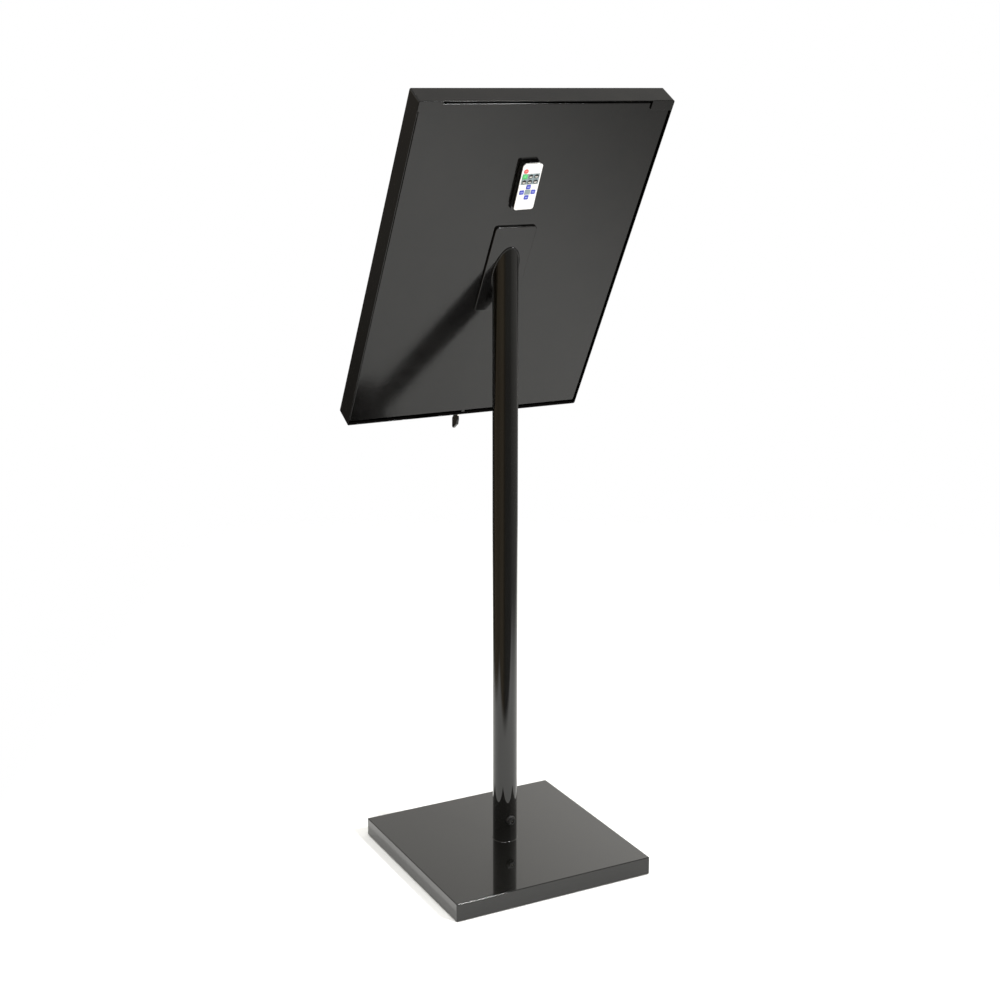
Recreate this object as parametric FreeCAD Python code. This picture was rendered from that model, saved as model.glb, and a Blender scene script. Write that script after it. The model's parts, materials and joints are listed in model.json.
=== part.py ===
import FreeCAD, Part

import math
import os

from FreeCAD import Placement, Rotation, Vector

# Sign stand: a heavy square base, one round column and a leaning, lockable, lit display case.
# Millimetres. Origin on the floor under the column's axis, +Z up, the reader stands on the -Y side.

# Base
BASE_SIDE = 400.0
BASE_TOP = 35.0
BASE_SHEET = 2.0
BASE_EDGE_RADIUS = 1.5
FOOT_PROUD = 2.0
FOOT_RADIUS = 15.0
FOOT_PITCH = 330.0
COVER_SIDE = 395.4
COVER_BOTTOM = 3.0
COVER_TOP = 4.5
COVER_SCREW_OFFSET = 172.0
BALLAST_SIDE = 380.0
BALLAST_BOTTOM = 21.0

# Column
COLUMN_RADIUS = 23.0
COLUMN_WALL = 1.5
BOLT_RADIUS = 6.0
PLUG_HEIGHT = 25.0
INLET_HEIGHT = BASE_TOP + 45.0

# Case: u is across, v is up the slanted face, w is towards the reader from the lid's rear rim.
LEAN_DEG = 29.7
CASE_CENTRE_Z = 1118.0
SHEET = 1.2
LID_WIDTH = 476.0
LID_HEIGHT = 662.0
LID_DEPTH = 43.0
SIGHT_WIDTH = 420.0
SIGHT_HEIGHT = 594.0
TAB_WIDTH = 43.0
TAB_HEIGHT = 19.0
WINDOW_THICKNESS = 3.0
TAPE_THICKNESS = 1.0
RETAINER_THICKNESS = 1.5
END_GAP = 5.5
SIDE_GAP = 2.3
LID_CORNER_RADIUS = 3.0
LID_RIM_RADIUS = 2.5
TRAY_CORNER_RADIUS = 4.0
TRAY_REAR = 3.0
TRAY_FRONT = 24.0
BOARD_REAR = 20.0
BOARD_THICKNESS = 2.0

# Lid hinge, lock and the plate that carries the case
HINGE_V = 305.0
HINGE_W = 9.0
HINGE_SHOULDER_RADIUS = 3.0
RUNNING = 0.05
LOCK_U = 3.5
LOCK_W = 20.0
LOCK_RADIUS = 8.0
PLUG_RADIUS = 5.0
CAM_REACH = 15.0
PLATE_WIDTH = 80.0
PLATE_HEIGHT = 176.0
PLATE_REAR = -1.0
PLATE_V = -0.5
LEAD_RADIUS = 2.25

# Remote control, in its own frame: p across, q along it, n away from the case's rear face.
REMOTE_U = 5.0
REMOTE_V = 171.0
REMOTE_TILT_DEG = 2.5
REMOTE_WIDTH = 37.0
REMOTE_BOTTOM = -43.0
REMOTE_TOP = 46.0
REMOTE_REAR = 5.1
REMOTE_FACE_REAR = 10.6
REMOTE_FACE = 11.6
KEY_PROUD = 0.5
KEY_GAP = 0.25
KEY_PITCH = 10.8
KEY_SIZE = 8.2

# Worked out
HALF_W = LID_WIDTH / 2.0
HALF_H = LID_HEIGHT / 2.0
TRAY_HALF_W = HALF_W - SHEET - SIDE_GAP
TRAY_HALF_H = HALF_H - SHEET - END_GAP
FRONT_INNER = LID_DEPTH - SHEET
WINDOW_FRONT = FRONT_INNER - TAPE_THICKNESS
WINDOW_REAR = WINDOW_FRONT - WINDOW_THICKNESS
RETAINER_REAR = WINDOW_REAR - RETAINER_THICKNESS
BOARD_FRONT = BOARD_REAR + BOARD_THICKNESS
TRAY_INNER = TRAY_REAR + SHEET
PLATE_FRONT = TRAY_REAR
COLUMN_BORE = COLUMN_RADIUS - COLUMN_WALL

X_AXIS = Vector(1, 0, 0)
Y_AXIS = Vector(0, 1, 0)
Z_AXIS = Vector(0, 0, 1)
CASE = Placement(Vector(0, 0, CASE_CENTRE_Z), Rotation(X_AXIS, 90.0 - LEAN_DEG))
REMOTE_TURN = Rotation(Z_AXIS, -REMOTE_TILT_DEG).multiply(Rotation(Y_AXIS, 180.0))
REMOTE = CASE.multiply(Placement(Vector(REMOTE_U, REMOTE_V, TRAY_REAR), REMOTE_TURN))


def box(x0, y0, z0, x1, y1, z1):
    return Part.makeBox(x1 - x0, y1 - y0, z1 - z0, Vector(x0, y0, z0))


def centred_box(width, height, z0, z1, x=0.0, y=0.0):
    return box(x - width / 2.0, y - height / 2.0, z0, x + width / 2.0, y + height / 2.0, z1)


def rod(radius, x, y, z0, z1):
    return Part.makeCylinder(radius, z1 - z0, Vector(x, y, z0))


def rod_along(axis, radius, start, end):
    return Part.makeCylinder(radius, (end - start).Length, start, axis)


def hexagon(across_flats, centre, axis, height):
    """A hexagonal prism that starts at centre and runs along axis."""
    corner = across_flats / math.sqrt(3.0)
    turns = [math.radians(60.0 * i) for i in range(7)]
    outline = Part.makePolygon([Vector(corner * math.cos(a), corner * math.sin(a), 0) for a in turns])
    prism = Part.Face(outline).extrude(Vector(0, 0, height))
    return moved(prism, Placement(centre, Rotation(Z_AXIS, axis)))


def rounded_box(width, height, z0, z1, radius, x=0.0, y=0.0):
    """A plate whose four upright edges are rounded."""
    plate = centred_box(width, height, z0, z1, x, y)
    upright = [e for e in plate.Edges if abs(e.tangentAt(e.FirstParameter).z) > 0.99]
    return plate.makeFillet(radius, upright)


def prism_from(points, direction):
    outline = Part.makePolygon(points + [points[0]])
    return Part.Face(outline).extrude(direction)


def moved(shape, placement):
    return shape.transformed(placement.toMatrix(), True)


def joined(shapes):
    result = shapes[0]
    for shape in shapes[1:]:
        result = result.fuse(shape)
    return result.removeSplitter()


def edges_at(shape, test):
    return [e for e in shape.Edges if test(e.BoundBox)]


def bent_rod(points, bends, radius):
    """A round rod along straight runs joined by tangent arcs."""
    edges = []
    start = points[0]
    for i in range(1, len(points) - 1):
        before = (points[i - 1] - points[i]).normalize()
        after = (points[i + 1] - points[i]).normalize()
        half = (math.pi - before.getAngle(after)) / 2.0
        reach = bends[i - 1] * math.tan(half)
        first = points[i] + before * reach
        last = points[i] + after * reach
        towards = (before + after).normalize()
        middle = points[i] + towards * (bends[i - 1] / math.cos(half) - bends[i - 1])
        edges.append(Part.LineSegment(start, first).toShape())
        edges.append(Part.Arc(first, middle, last).toShape())
        start = last
    edges.append(Part.LineSegment(start, points[-1]).toShape())
    path = Part.Wire(edges)
    ring = Part.Wire(Part.makeCircle(radius, points[0], points[1] - points[0]))
    rod_shape = path.makePipeShell([ring], True, True)
    ratio = rod_shape.Volume / (math.pi * radius ** 2 * path.Length)
    print("lead", "length", round(path.Length, 1), "bends", bends, "volume ratio", round(ratio, 4))
    return rod_shape


def at_corners(pitch_x, pitch_y, y=0.0):
    return [(sx * pitch_x / 2.0, y + sy * pitch_y / 2.0) for sx in (-1, 1) for sy in (-1, 1)]


# ---------------------------------------------------------------- base


def cover_screw_places():
    reach = COVER_SCREW_OFFSET
    return [(reach, 0.0), (-reach, 0.0), (0.0, reach), (0.0, -reach)]


def base_shell():
    """Folded steel box, open below, with crisp but rounded edges."""
    outer = centred_box(BASE_SIDE, BASE_SIDE, FOOT_PROUD, BASE_TOP)
    edges = edges_at(outer, lambda b: b.ZMax > BASE_TOP - 0.01)
    outer = outer.makeFillet(BASE_EDGE_RADIUS, edges)
    inner_side = BASE_SIDE - 2.0 * BASE_SHEET
    inner = centred_box(inner_side, inner_side, FOOT_PROUD - 1.0, BASE_TOP - BASE_SHEET)
    bolt_hole = rod(BOLT_RADIUS + 0.5, 0, 0, 0, BASE_TOP + 1.0)
    return outer.cut(inner).cut(bolt_hole)


def ballast_plate():
    plate = rounded_box(BALLAST_SIDE, BALLAST_SIDE, BALLAST_BOTTOM, BASE_TOP - BASE_SHEET, 6.0)
    return plate.cut(rod(BOLT_RADIUS + 0.5, 0, 0, 0, BASE_TOP))


def cover_posts():
    posts = []
    for x, y in cover_screw_places():
        post = rod(6.0, x, y, COVER_TOP, BALLAST_BOTTOM)
        posts.append(post.cut(rod(2.1, x, y, COVER_TOP, BALLAST_BOTTOM - 4.0)))
    return Part.makeCompound(posts)


def base_cover():
    cover = rounded_box(COVER_SIDE, COVER_SIDE, COVER_BOTTOM, COVER_TOP, 1.5)
    for x, y in cover_screw_places():
        cover = cover.cut(rod(2.3, x, y, 0, BASE_TOP))
    return cover


def cover_screws():
    screws = []
    for x, y in cover_screw_places():
        head = rod(4.5, x, y, COVER_BOTTOM - 0.9, COVER_BOTTOM)
        slot = centred_box(10.0, 1.0, COVER_BOTTOM - 1.0, COVER_BOTTOM - 0.4, x, y)
        shank = rod(2.05, x, y, COVER_BOTTOM - 0.2, COVER_TOP + 10.0)
        screws.append(joined([head.cut(slot), shank]))
    return Part.makeCompound(screws)


def base_feet():
    feet = []
    for x, y in at_corners(FOOT_PITCH, FOOT_PITCH):
        foot = rod(FOOT_RADIUS, x, y, 0.0, COVER_BOTTOM)
        rim = edges_at(foot, lambda b: b.ZMax < 0.01)
        feet.append(foot.makeFillet(0.8, rim))
    return Part.makeCompound(feet)


# ---------------------------------------------------------------- column


def behind_plate():
    """Everything on the rear side of the mount plate, as one large block."""
    reach = 1.5 * CASE_CENTRE_Z
    return moved(box(-reach, -reach, -reach, reach, reach, PLATE_REAR), CASE)


def column():
    """Steel tube, cut square at the foot and on the case's slant at the top."""
    top = CASE_CENTRE_Z + 3.0 * COLUMN_RADIUS
    tube = rod(COLUMN_RADIUS, 0, 0, BASE_TOP, top)
    tube = tube.cut(rod(COLUMN_BORE, 0, 0, BASE_TOP - 1.0, top + 1.0))
    inlet_hole = rod_along(Y_AXIS, 5.5, Vector(0, 10, INLET_HEIGHT), Vector(0, 30, INLET_HEIGHT))
    return tube.common(behind_plate()).cut(inlet_hole)


def column_foot_plug():
    plug = rod(COLUMN_BORE - 0.05, 0, 0, BASE_TOP, BASE_TOP + PLUG_HEIGHT)
    return plug.cut(rod(BOLT_RADIUS + RUNNING, 0, 0, BASE_TOP - 1.0, BASE_TOP + PLUG_HEIGHT + 1.0))


def column_bolt():
    """Flange-head bolt that clamps the column, the shell and the ballast together."""
    flange = rod(13.0, 0, 0, BALLAST_BOTTOM - 2.5, BALLAST_BOTTOM)
    head = hexagon(19.0, Vector(0, 0, BALLAST_BOTTOM - 10.0), Z_AXIS, 8.0)
    shank = rod(BOLT_RADIUS, 0, 0, BALLAST_BOTTOM - 1.0, BASE_TOP + PLUG_HEIGHT - 4.0)
    return joined([flange, head, shank])


def mount_plate():
    plate = rounded_box(PLATE_WIDTH, PLATE_HEIGHT, PLATE_REAR, PLATE_FRONT, 6.0, 0.0, PLATE_V)
    rear_rim = edges_at(plate, lambda b: b.ZMax < PLATE_REAR + 0.01)
    plate = plate.makeFillet(0.6, rear_rim)
    return moved(plate.cut(rod(12.0, 0, 0, PLATE_REAR - 1.0, PLATE_FRONT + 1.0)), CASE)


def weld_bead():
    """A sloping collar round the column where it meets the plate."""
    collar = rod(COLUMN_RADIUS + 3.5, 0, 0, CASE_CENTRE_Z - 120.0, CASE_CENTRE_Z + 120.0)
    layer = moved(box(-100, -200, PLATE_REAR - 3.0, 100, 200, PLATE_REAR), CASE)
    hole = rod(COLUMN_RADIUS, 0, 0, CASE_CENTRE_Z - 130.0, CASE_CENTRE_Z + 130.0)
    return collar.common(layer).cut(hole)


def stud_places():
    return at_corners(56.0, 120.0, PLATE_V)


def plate_studs():
    studs = [rod(3.0, u, v, PLATE_FRONT, PLATE_FRONT + 11.0) for u, v in stud_places()]
    return moved(Part.makeCompound(studs), CASE)


def plate_nuts():
    nuts = []
    for u, v in stud_places():
        flange = rod(7.0, u, v, TRAY_INNER, TRAY_INNER + 1.6)
        nut = hexagon(10.0, Vector(u, v, TRAY_INNER + 1.0), Z_AXIS, 5.0)
        hole = rod(3.0 + RUNNING, u, v, TRAY_REAR, TRAY_FRONT)
        nuts.append(joined([flange, nut]).cut(hole))
    return moved(Part.makeCompound(nuts), CASE)


# ---------------------------------------------------------------- power


INLET_INNER = 15.0
INLET_OUTER = COLUMN_RADIUS + 8.5


def inlet_body():
    """Round socket whose saddle flange follows the column."""
    def along(radius, y0, y1):
        return rod_along(Y_AXIS, radius, Vector(0, y0, INLET_HEIGHT), Vector(0, y1, INLET_HEIGHT))
    flange = along(9.0, COLUMN_RADIUS - 3.0, COLUMN_RADIUS + 4.0)
    rim = edges_at(flange, lambda b: b.YMin > COLUMN_RADIUS + 3.9)
    flange = flange.makeFillet(1.2, rim)
    flange = flange.cut(rod(COLUMN_RADIUS, 0, 0, 0, 2.0 * INLET_HEIGHT))
    collar = along(6.5, COLUMN_RADIUS + 3.0, INLET_OUTER)
    barrel = along(5.45, INLET_INNER, COLUMN_RADIUS + 3.5)
    socket = along(2.75, INLET_OUTER - 9.5, INLET_OUTER + 1.0)
    return joined([flange, collar, barrel]).cut(socket)


def inlet_nut():
    nut = hexagon(14.0, Vector(0, INLET_INNER + 0.8, INLET_HEIGHT), Y_AXIS, 3.6)
    hole = rod_along(Y_AXIS, 5.5, Vector(0, 10, INLET_HEIGHT), Vector(0, 30, INLET_HEIGHT))
    return nut.cut(hole)


def inlet_pin():
    start = Vector(0, INLET_OUTER - 9.5, INLET_HEIGHT)
    return rod_along(Y_AXIS, 1.05, start, Vector(0, INLET_OUTER - 1.0, INLET_HEIGHT))


CONTROLLER_U = 60.0
LEAD_W = 12.0


def power_lead():
    """From the socket up the column, through the plate and across to the controller."""
    points = [
        Vector(0, INLET_INNER, INLET_HEIGHT),
        Vector(0, -7.0, INLET_HEIGHT),
        CASE.multVec(Vector(0, 0, -9.0)),
        CASE.multVec(Vector(0, 0, LEAD_W)),
        CASE.multVec(Vector(CONTROLLER_U, 0, LEAD_W)),
    ]
    return bent_rod(points, [9.0, 16.0, 5.0], LEAD_RADIUS)


def cable_grommet():
    neck = rod(11.9, 0, 0, PLATE_REAR + 2.0, TRAY_INNER)
    lip = rod(14.5, 0, 0, TRAY_INNER, TRAY_INNER + 2.0)
    hole = rod(LEAD_RADIUS + RUNNING, 0, 0, PLATE_REAR, TRAY_FRONT)
    return moved(joined([neck, lip]).cut(hole), CASE)


def led_controller():
    body = rounded_box(80.0, 46.0, TRAY_INNER, BOARD_REAR - 3.0, 3.0, CONTROLLER_U + 40.0, 0.0)
    return moved(body, CASE)


# ---------------------------------------------------------------- back of the case


def notch(width, v_low, v_high, w_low, w_high):
    """Clearance for the lock: round at the rear, open towards the reader."""
    round_end = rod_along(Y_AXIS, width / 2.0, Vector(LOCK_U, v_low, w_low), Vector(LOCK_U, v_high, w_low))
    straight = box(LOCK_U - width / 2.0, v_low, w_low, LOCK_U + width / 2.0, v_high, w_high)
    return joined([round_end, straight])


def hinge_bore(radius, margin=20.0):
    start = Vector(-HALF_W - margin, HINGE_V, HINGE_W)
    return rod_along(X_AXIS, radius, start, Vector(HALF_W + margin, HINGE_V, HINGE_W))


def back_tray():
    """Shallow folded tray: its rear is the panel seen from behind."""
    outer = rounded_box(2.0 * TRAY_HALF_W, 2.0 * TRAY_HALF_H, TRAY_REAR, TRAY_FRONT, TRAY_CORNER_RADIUS)
    rear_rim = edges_at(outer, lambda b: b.ZMax < TRAY_REAR + 0.01)
    outer = outer.makeFillet(1.5, rear_rim)
    inner = rounded_box(
        2.0 * (TRAY_HALF_W - SHEET), 2.0 * (TRAY_HALF_H - SHEET), TRAY_INNER, TRAY_FRONT + 1.0,
        TRAY_CORNER_RADIUS - SHEET,
    )
    tray = outer.cut(inner)
    drain_tab = centred_box(6.0, 6.0, TRAY_REAR, TRAY_INNER, LOCK_U, -TRAY_HALF_H)
    tray = tray.fuse(drain_tab)
    lock_way = notch(2.0 * LOCK_RADIUS + 3.0, -TRAY_HALF_H - 1.0, -TRAY_HALF_H + 3.0, LOCK_W, 60.0)
    tray = tray.cut(lock_way).cut(rod(12.0, 0, 0, 0, TRAY_INNER + 1.0))
    for u, v in stud_places():
        tray = tray.cut(rod(3.2, u, v, 0, TRAY_INNER + 1.0))
    return moved(tray.cut(hinge_bore(4.0)).removeSplitter(), CASE)


def spacer_places():
    sides = [(s * 200.0, v) for s in (-1, 1) for v in (-285.0, 0.0, 285.0)]
    return sides + [(-60.0, -285.0), (0.0, 285.0)]


def display_board():
    """Magnetic sheet that the posters lie on, notched for the lock."""
    height = 2.0 * (TRAY_HALF_H - SHEET - 1.0)
    width = 2.0 * (TRAY_HALF_W - SHEET) - 0.6
    board = rounded_box(width, height, BOARD_REAR, BOARD_FRONT, TRAY_CORNER_RADIUS - 1.0)
    board = board.cut(box(LOCK_U - 22.0, -HALF_H, 0, LOCK_U + 22.0, -300.0, LID_DEPTH))
    for u, v in spacer_places():
        board = board.cut(rod(2.2, u, v, 0, LID_DEPTH))
    return moved(board, CASE)


def board_spacers():
    spacers = []
    for u, v in spacer_places():
        post = rod(5.0, u, v, TRAY_INNER, BOARD_REAR)
        spacers.append(post.cut(rod(2.0, u, v, BOARD_REAR - 9.0, BOARD_REAR)))
    return moved(Part.makeCompound(spacers), CASE)


def board_screws():
    screws = []
    for u, v in spacer_places():
        head = rod(4.0, u, v, BOARD_FRONT, BOARD_FRONT + 1.6)
        head = head.makeFillet(0.8, edges_at(head, lambda b: b.ZMin > BOARD_FRONT + 1.5))
        cross = centred_box(4.0, 0.8, BOARD_FRONT + 0.8, BOARD_FRONT + 2.0, u, v)
        cross = cross.fuse(centred_box(0.8, 4.0, BOARD_FRONT + 0.8, BOARD_FRONT + 2.0, u, v))
        shank = rod(1.95, u, v, BOARD_REAR - 7.0, BOARD_FRONT + 0.4)
        screws.append(joined([head.cut(cross), shank]))
    return moved(Part.makeCompound(screws), CASE)


STRIP_WIDTH = 8.0
STRIP_THICKNESS = 0.8
STRIP_U = SIGHT_WIDTH / 2.0 + 7.0
STRIP_V = SIGHT_HEIGHT / 2.0 + 8.0


def led_strip_runs():
    """Centre, length and direction of each strip; the lower one is split at the lock."""
    side = 2.0 * (STRIP_V - STRIP_WIDTH)
    lower = STRIP_U - 2.0 * STRIP_WIDTH - 30.0
    return [
        (-STRIP_U, 0.0, side, "v"),
        (STRIP_U, 0.0, side, "v"),
        (0.0, STRIP_V, 2.0 * (STRIP_U - STRIP_WIDTH), "u"),
        (-30.0 - lower / 2.0, -STRIP_V, lower, "u"),
        (34.0 + lower / 2.0, -STRIP_V, lower, "u"),
    ]


def led_strips():
    strips = []
    for u, v, length, run in led_strip_runs():
        size = (STRIP_WIDTH, length) if run == "v" else (length, STRIP_WIDTH)
        strips.append(centred_box(size[0], size[1], BOARD_FRONT, BOARD_FRONT + STRIP_THICKNESS, u, v))
    return moved(Part.makeCompound(strips), CASE)


def led_chips():
    chips = []
    bottom = BOARD_FRONT + STRIP_THICKNESS
    for u, v, length, run in led_strip_runs():
        count = int(length // 33.0)
        for i in range(count):
            along = (i + 0.5) * length / count - length / 2.0
            place = (u, v + along) if run == "v" else (u + along, v)
            chips.append(centred_box(5.0, 5.0, bottom, bottom + 1.6, place[0], place[1]))
    return moved(Part.makeCompound(chips), CASE)


def lid_bumpers():
    bumpers = []
    for u, v in [(s * 226.0, v) for s in (-1, 1) for v in (-306.0, 0.0)]:
        bumper = rod(3.4, u, v, BOARD_FRONT, RETAINER_REAR - 0.3)
        bumpers.append(bumper.makeFillet(1.0, edges_at(bumper, lambda b: b.ZMin > RETAINER_REAR - 0.4)))
    return moved(Part.makeCompound(bumpers), CASE)


def lock_catch():
    """Plate inside the tray's lower wall that the cam turns behind."""
    low = -TRAY_HALF_H + SHEET
    plate = box(LOCK_U + 10.0, low, TRAY_FRONT - 0.4, LOCK_U + 22.0, -304.0, TRAY_FRONT + 1.2)
    return moved(plate, CASE)


BUSH_RADIUS = 4.0


def hinge_bushes():
    bushes = []
    for side in (-1, 1):
        inner = side * (TRAY_HALF_W - SHEET)
        outer = side * (TRAY_HALF_W + 0.2)
        flange_end = inner - side * 1.4
        neck = rod_along(Vector(side, 0, 0), BUSH_RADIUS, Vector(inner, HINGE_V, HINGE_W),
                         Vector(outer, HINGE_V, HINGE_W))
        flange = rod_along(Vector(side, 0, 0), BUSH_RADIUS + 0.7, Vector(flange_end, HINGE_V, HINGE_W),
                           Vector(inner, HINGE_V, HINGE_W))
        bushes.append(joined([neck, flange]).cut(hinge_bore(HINGE_SHOULDER_RADIUS + RUNNING)))
    return moved(Part.makeCompound(bushes), CASE)


# ---------------------------------------------------------------- lid


def lid_inside(w0, w1):
    """The room between the lid's four walls."""
    width, height = LID_WIDTH - 2.0 * SHEET, LID_HEIGHT - 2.0 * SHEET
    return rounded_box(width, height, w0, w1, LID_CORNER_RADIUS - SHEET)


def lid_frame():
    """Folded front frame: border, four walls and the two corner tabs at the rear rim."""
    outer = rounded_box(LID_WIDTH, LID_HEIGHT, 0.0, LID_DEPTH, LID_CORNER_RADIUS)
    outer = outer.makeFillet(LID_RIM_RADIUS, edges_at(outer, lambda b: b.ZMin > LID_DEPTH - 0.01))
    inner = lid_inside(-1.0, FRONT_INNER)
    inner = inner.makeFillet(LID_RIM_RADIUS - SHEET, edges_at(inner, lambda b: b.ZMin > FRONT_INNER - 0.01))
    frame = outer.cut(inner).cut(centred_box(SIGHT_WIDTH, SIGHT_HEIGHT, 0.0, LID_DEPTH + 1.0))
    for side in (-1, 1):
        centre = side * (HALF_W - TAB_WIDTH / 2.0)
        tab = centred_box(TAB_WIDTH, TAB_HEIGHT, 0.0, SHEET, centre, HALF_H - TAB_HEIGHT / 2.0)
        frame = frame.fuse(tab.common(outer))
    lock_hole = lock_rod(LOCK_RADIUS + RUNNING, -HALF_H - 5.0, -HALF_H + 5.0)
    return moved(frame.cut(lock_hole).removeSplitter(), CASE)


def ring(width, height, border, w0, w1):
    return centred_box(width, height, w0, w1).cut(
        centred_box(width - 2.0 * border, height - 2.0 * border, w0 - 1.0, w1 + 1.0)
    )


def glazing_tape():
    return moved(ring(SIGHT_WIDTH + 30.0, SIGHT_HEIGHT + 30.0, 13.0, WINDOW_FRONT, FRONT_INNER), CASE)


def window():
    return moved(centred_box(SIGHT_WIDTH + 44.0, SIGHT_HEIGHT + 56.0, WINDOW_REAR, WINDOW_FRONT), CASE)


def window_retainers():
    """Four angle strips: one leg behind the window, the other on the lid's wall."""
    reach = 14.0
    nut_room = 15.0
    inner_w = HALF_W - SHEET
    inner_h = HALF_H - SHEET
    thick = RETAINER_THICKNESS
    leg = RETAINER_REAR - 6.0
    strips = []
    for s in (-1, 1):
        flat = centred_box(2.0 * inner_w, reach, RETAINER_REAR, WINDOW_REAR, 0.0, s * (inner_h - reach / 2.0))
        wall = centred_box(2.0 * inner_w, thick, leg, RETAINER_REAR, 0.0, s * (inner_h - thick / 2.0))
        if s < 0:
            wall = wall.cut(box(LOCK_U - nut_room, -HALF_H, 0.0, LOCK_U + nut_room, -300.0, RETAINER_REAR))
        strips.append(joined([flat, wall]).common(lid_inside(0.0, FRONT_INNER)))
        span = 2.0 * (inner_h - reach) - 0.6
        flat = centred_box(reach, span, RETAINER_REAR, WINDOW_REAR, s * (inner_w - reach / 2.0), 0.0)
        wall = centred_box(thick, span, leg, RETAINER_REAR, s * (inner_w - thick / 2.0), 0.0)
        strips.append(joined([flat, wall]))
    return moved(Part.makeCompound(strips), CASE)


BOSS_GAP = 0.5
BOSS_RADIUS = 7.0


def hinge_bosses():
    bosses = []
    for side in (-1, 1):
        start = Vector(side * (TRAY_HALF_W + 0.2 + BOSS_GAP), HINGE_V, HINGE_W)
        end = Vector(side * (HALF_W - SHEET), HINGE_V, HINGE_W)
        boss = rod_along(Vector(side, 0, 0), BOSS_RADIUS, start, end)
        bosses.append(boss.cut(hinge_bore(2.1)))
    return moved(Part.makeCompound(bosses), CASE)


def hinge_screws():
    """Shoulder screws, turned from inside the tray into the lid's bosses."""
    screws = []
    for side in (-1, 1):
        def along(radius, u0, u1):
            ends = sorted((side * u0, side * u1))
            return rod_along(X_AXIS, radius, Vector(ends[0], HINGE_V, HINGE_W),
                             Vector(ends[1], HINGE_V, HINGE_W))
        shoulder_end = TRAY_HALF_W + 0.2 + BOSS_GAP
        head_end = TRAY_HALF_W - SHEET - 1.4 - 0.3
        head = along(4.6, head_end - 2.6, head_end)
        recess = hexagon(3.0, Vector(side * (head_end - 3.0), HINGE_V, HINGE_W), Vector(side, 0, 0), 2.0)
        shoulder = along(HINGE_SHOULDER_RADIUS, head_end - 0.1, shoulder_end)
        thread = along(2.05, shoulder_end - 0.1, HALF_W - SHEET - 0.2)
        screws.append(joined([head.cut(recess), shoulder, thread]))
    return moved(Part.makeCompound(screws), CASE)


# ---------------------------------------------------------------- lock and key


BEZEL_HEIGHT = 4.0
LOCK_FACE = -HALF_H - BEZEL_HEIGHT
BARREL_END = -313.0
CAM_BASE = -311.0
CAM_THICKNESS = 2.0


def lock_rod(radius, v0, v1):
    return rod_along(Y_AXIS, radius, Vector(LOCK_U, v0, LOCK_W), Vector(LOCK_U, v1, LOCK_W))


def lock_body():
    bezel = lock_rod(10.5, LOCK_FACE, -HALF_H)
    bezel = bezel.makeChamfer(1.2, edges_at(bezel, lambda b: b.YMax < LOCK_FACE + 0.01))
    barrel = lock_rod(LOCK_RADIUS, -HALF_H - 0.5, BARREL_END)
    bore = lock_rod(PLUG_RADIUS + RUNNING, LOCK_FACE - 1.0, BARREL_END + 1.0)
    return moved(joined([bezel, barrel]).cut(bore), CASE)


def lock_nut():
    inner_face = -HALF_H + SHEET
    nut = hexagon(22.0, Vector(LOCK_U, inner_face, LOCK_W), Y_AXIS, 3.0)
    return moved(nut.cut(lock_rod(LOCK_RADIUS + RUNNING, -HALF_H, -300.0)), CASE)


BLADE_WIDTH = 8.0
BLADE_THICKNESS = 2.0
BLADE_GAP = 0.12
BLADE_TIP = -314.5


def blade_block(gap, v0, v1):
    half_u = BLADE_THICKNESS / 2.0 + gap
    half_w = BLADE_WIDTH / 2.0 + gap
    return box(LOCK_U - half_u, v0, LOCK_W - half_w, LOCK_U + half_u, v1, LOCK_W + half_w)


def lock_plug():
    plug = lock_rod(PLUG_RADIUS, LOCK_FACE + 0.2, CAM_BASE)
    stub = lock_rod(3.0, CAM_BASE - 0.5, CAM_BASE + CAM_THICKNESS)
    keyway = blade_block(BLADE_GAP, LOCK_FACE - 1.0, BLADE_TIP + 0.4)
    screw_hole = lock_rod(1.2, CAM_BASE - 2.0, CAM_BASE + CAM_THICKNESS + 1.0)
    return moved(joined([plug, stub]).cut(keyway).cut(screw_hole), CASE)


def lock_cam():
    """Round-ended arm that points to the case's rear when the lock is open."""
    top = CAM_BASE + CAM_THICKNESS
    half = 3.5
    arm = box(LOCK_U - half, CAM_BASE, LOCK_W - CAM_REACH, LOCK_U + half, top, LOCK_W)
    corners = edges_at(arm, lambda b: b.ZMax < LOCK_W - CAM_REACH + 0.01 and b.YLength > 1.0)
    arm = arm.makeFillet(2.0, corners)
    hub = lock_rod(6.0, CAM_BASE, top)
    return moved(joined([arm, hub]).cut(lock_rod(3.0 + RUNNING, CAM_BASE - 1.0, top + 1.0)), CASE)


def cam_screw():
    seat = CAM_BASE + CAM_THICKNESS
    head = lock_rod(4.5, seat, seat + 2.0)
    head = head.makeFillet(0.8, edges_at(head, lambda b: b.YMin > seat + 1.9))
    return moved(joined([head, lock_rod(1.15, CAM_BASE - 1.5, seat + 0.5)]), CASE)


BOW_TOP = -349.0
BOW_LENGTH = 30.5
BOW_HALF = 10.3


def key_blade():
    return moved(blade_block(0.0, BOW_TOP - 4.0, BLADE_TIP), CASE)


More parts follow.
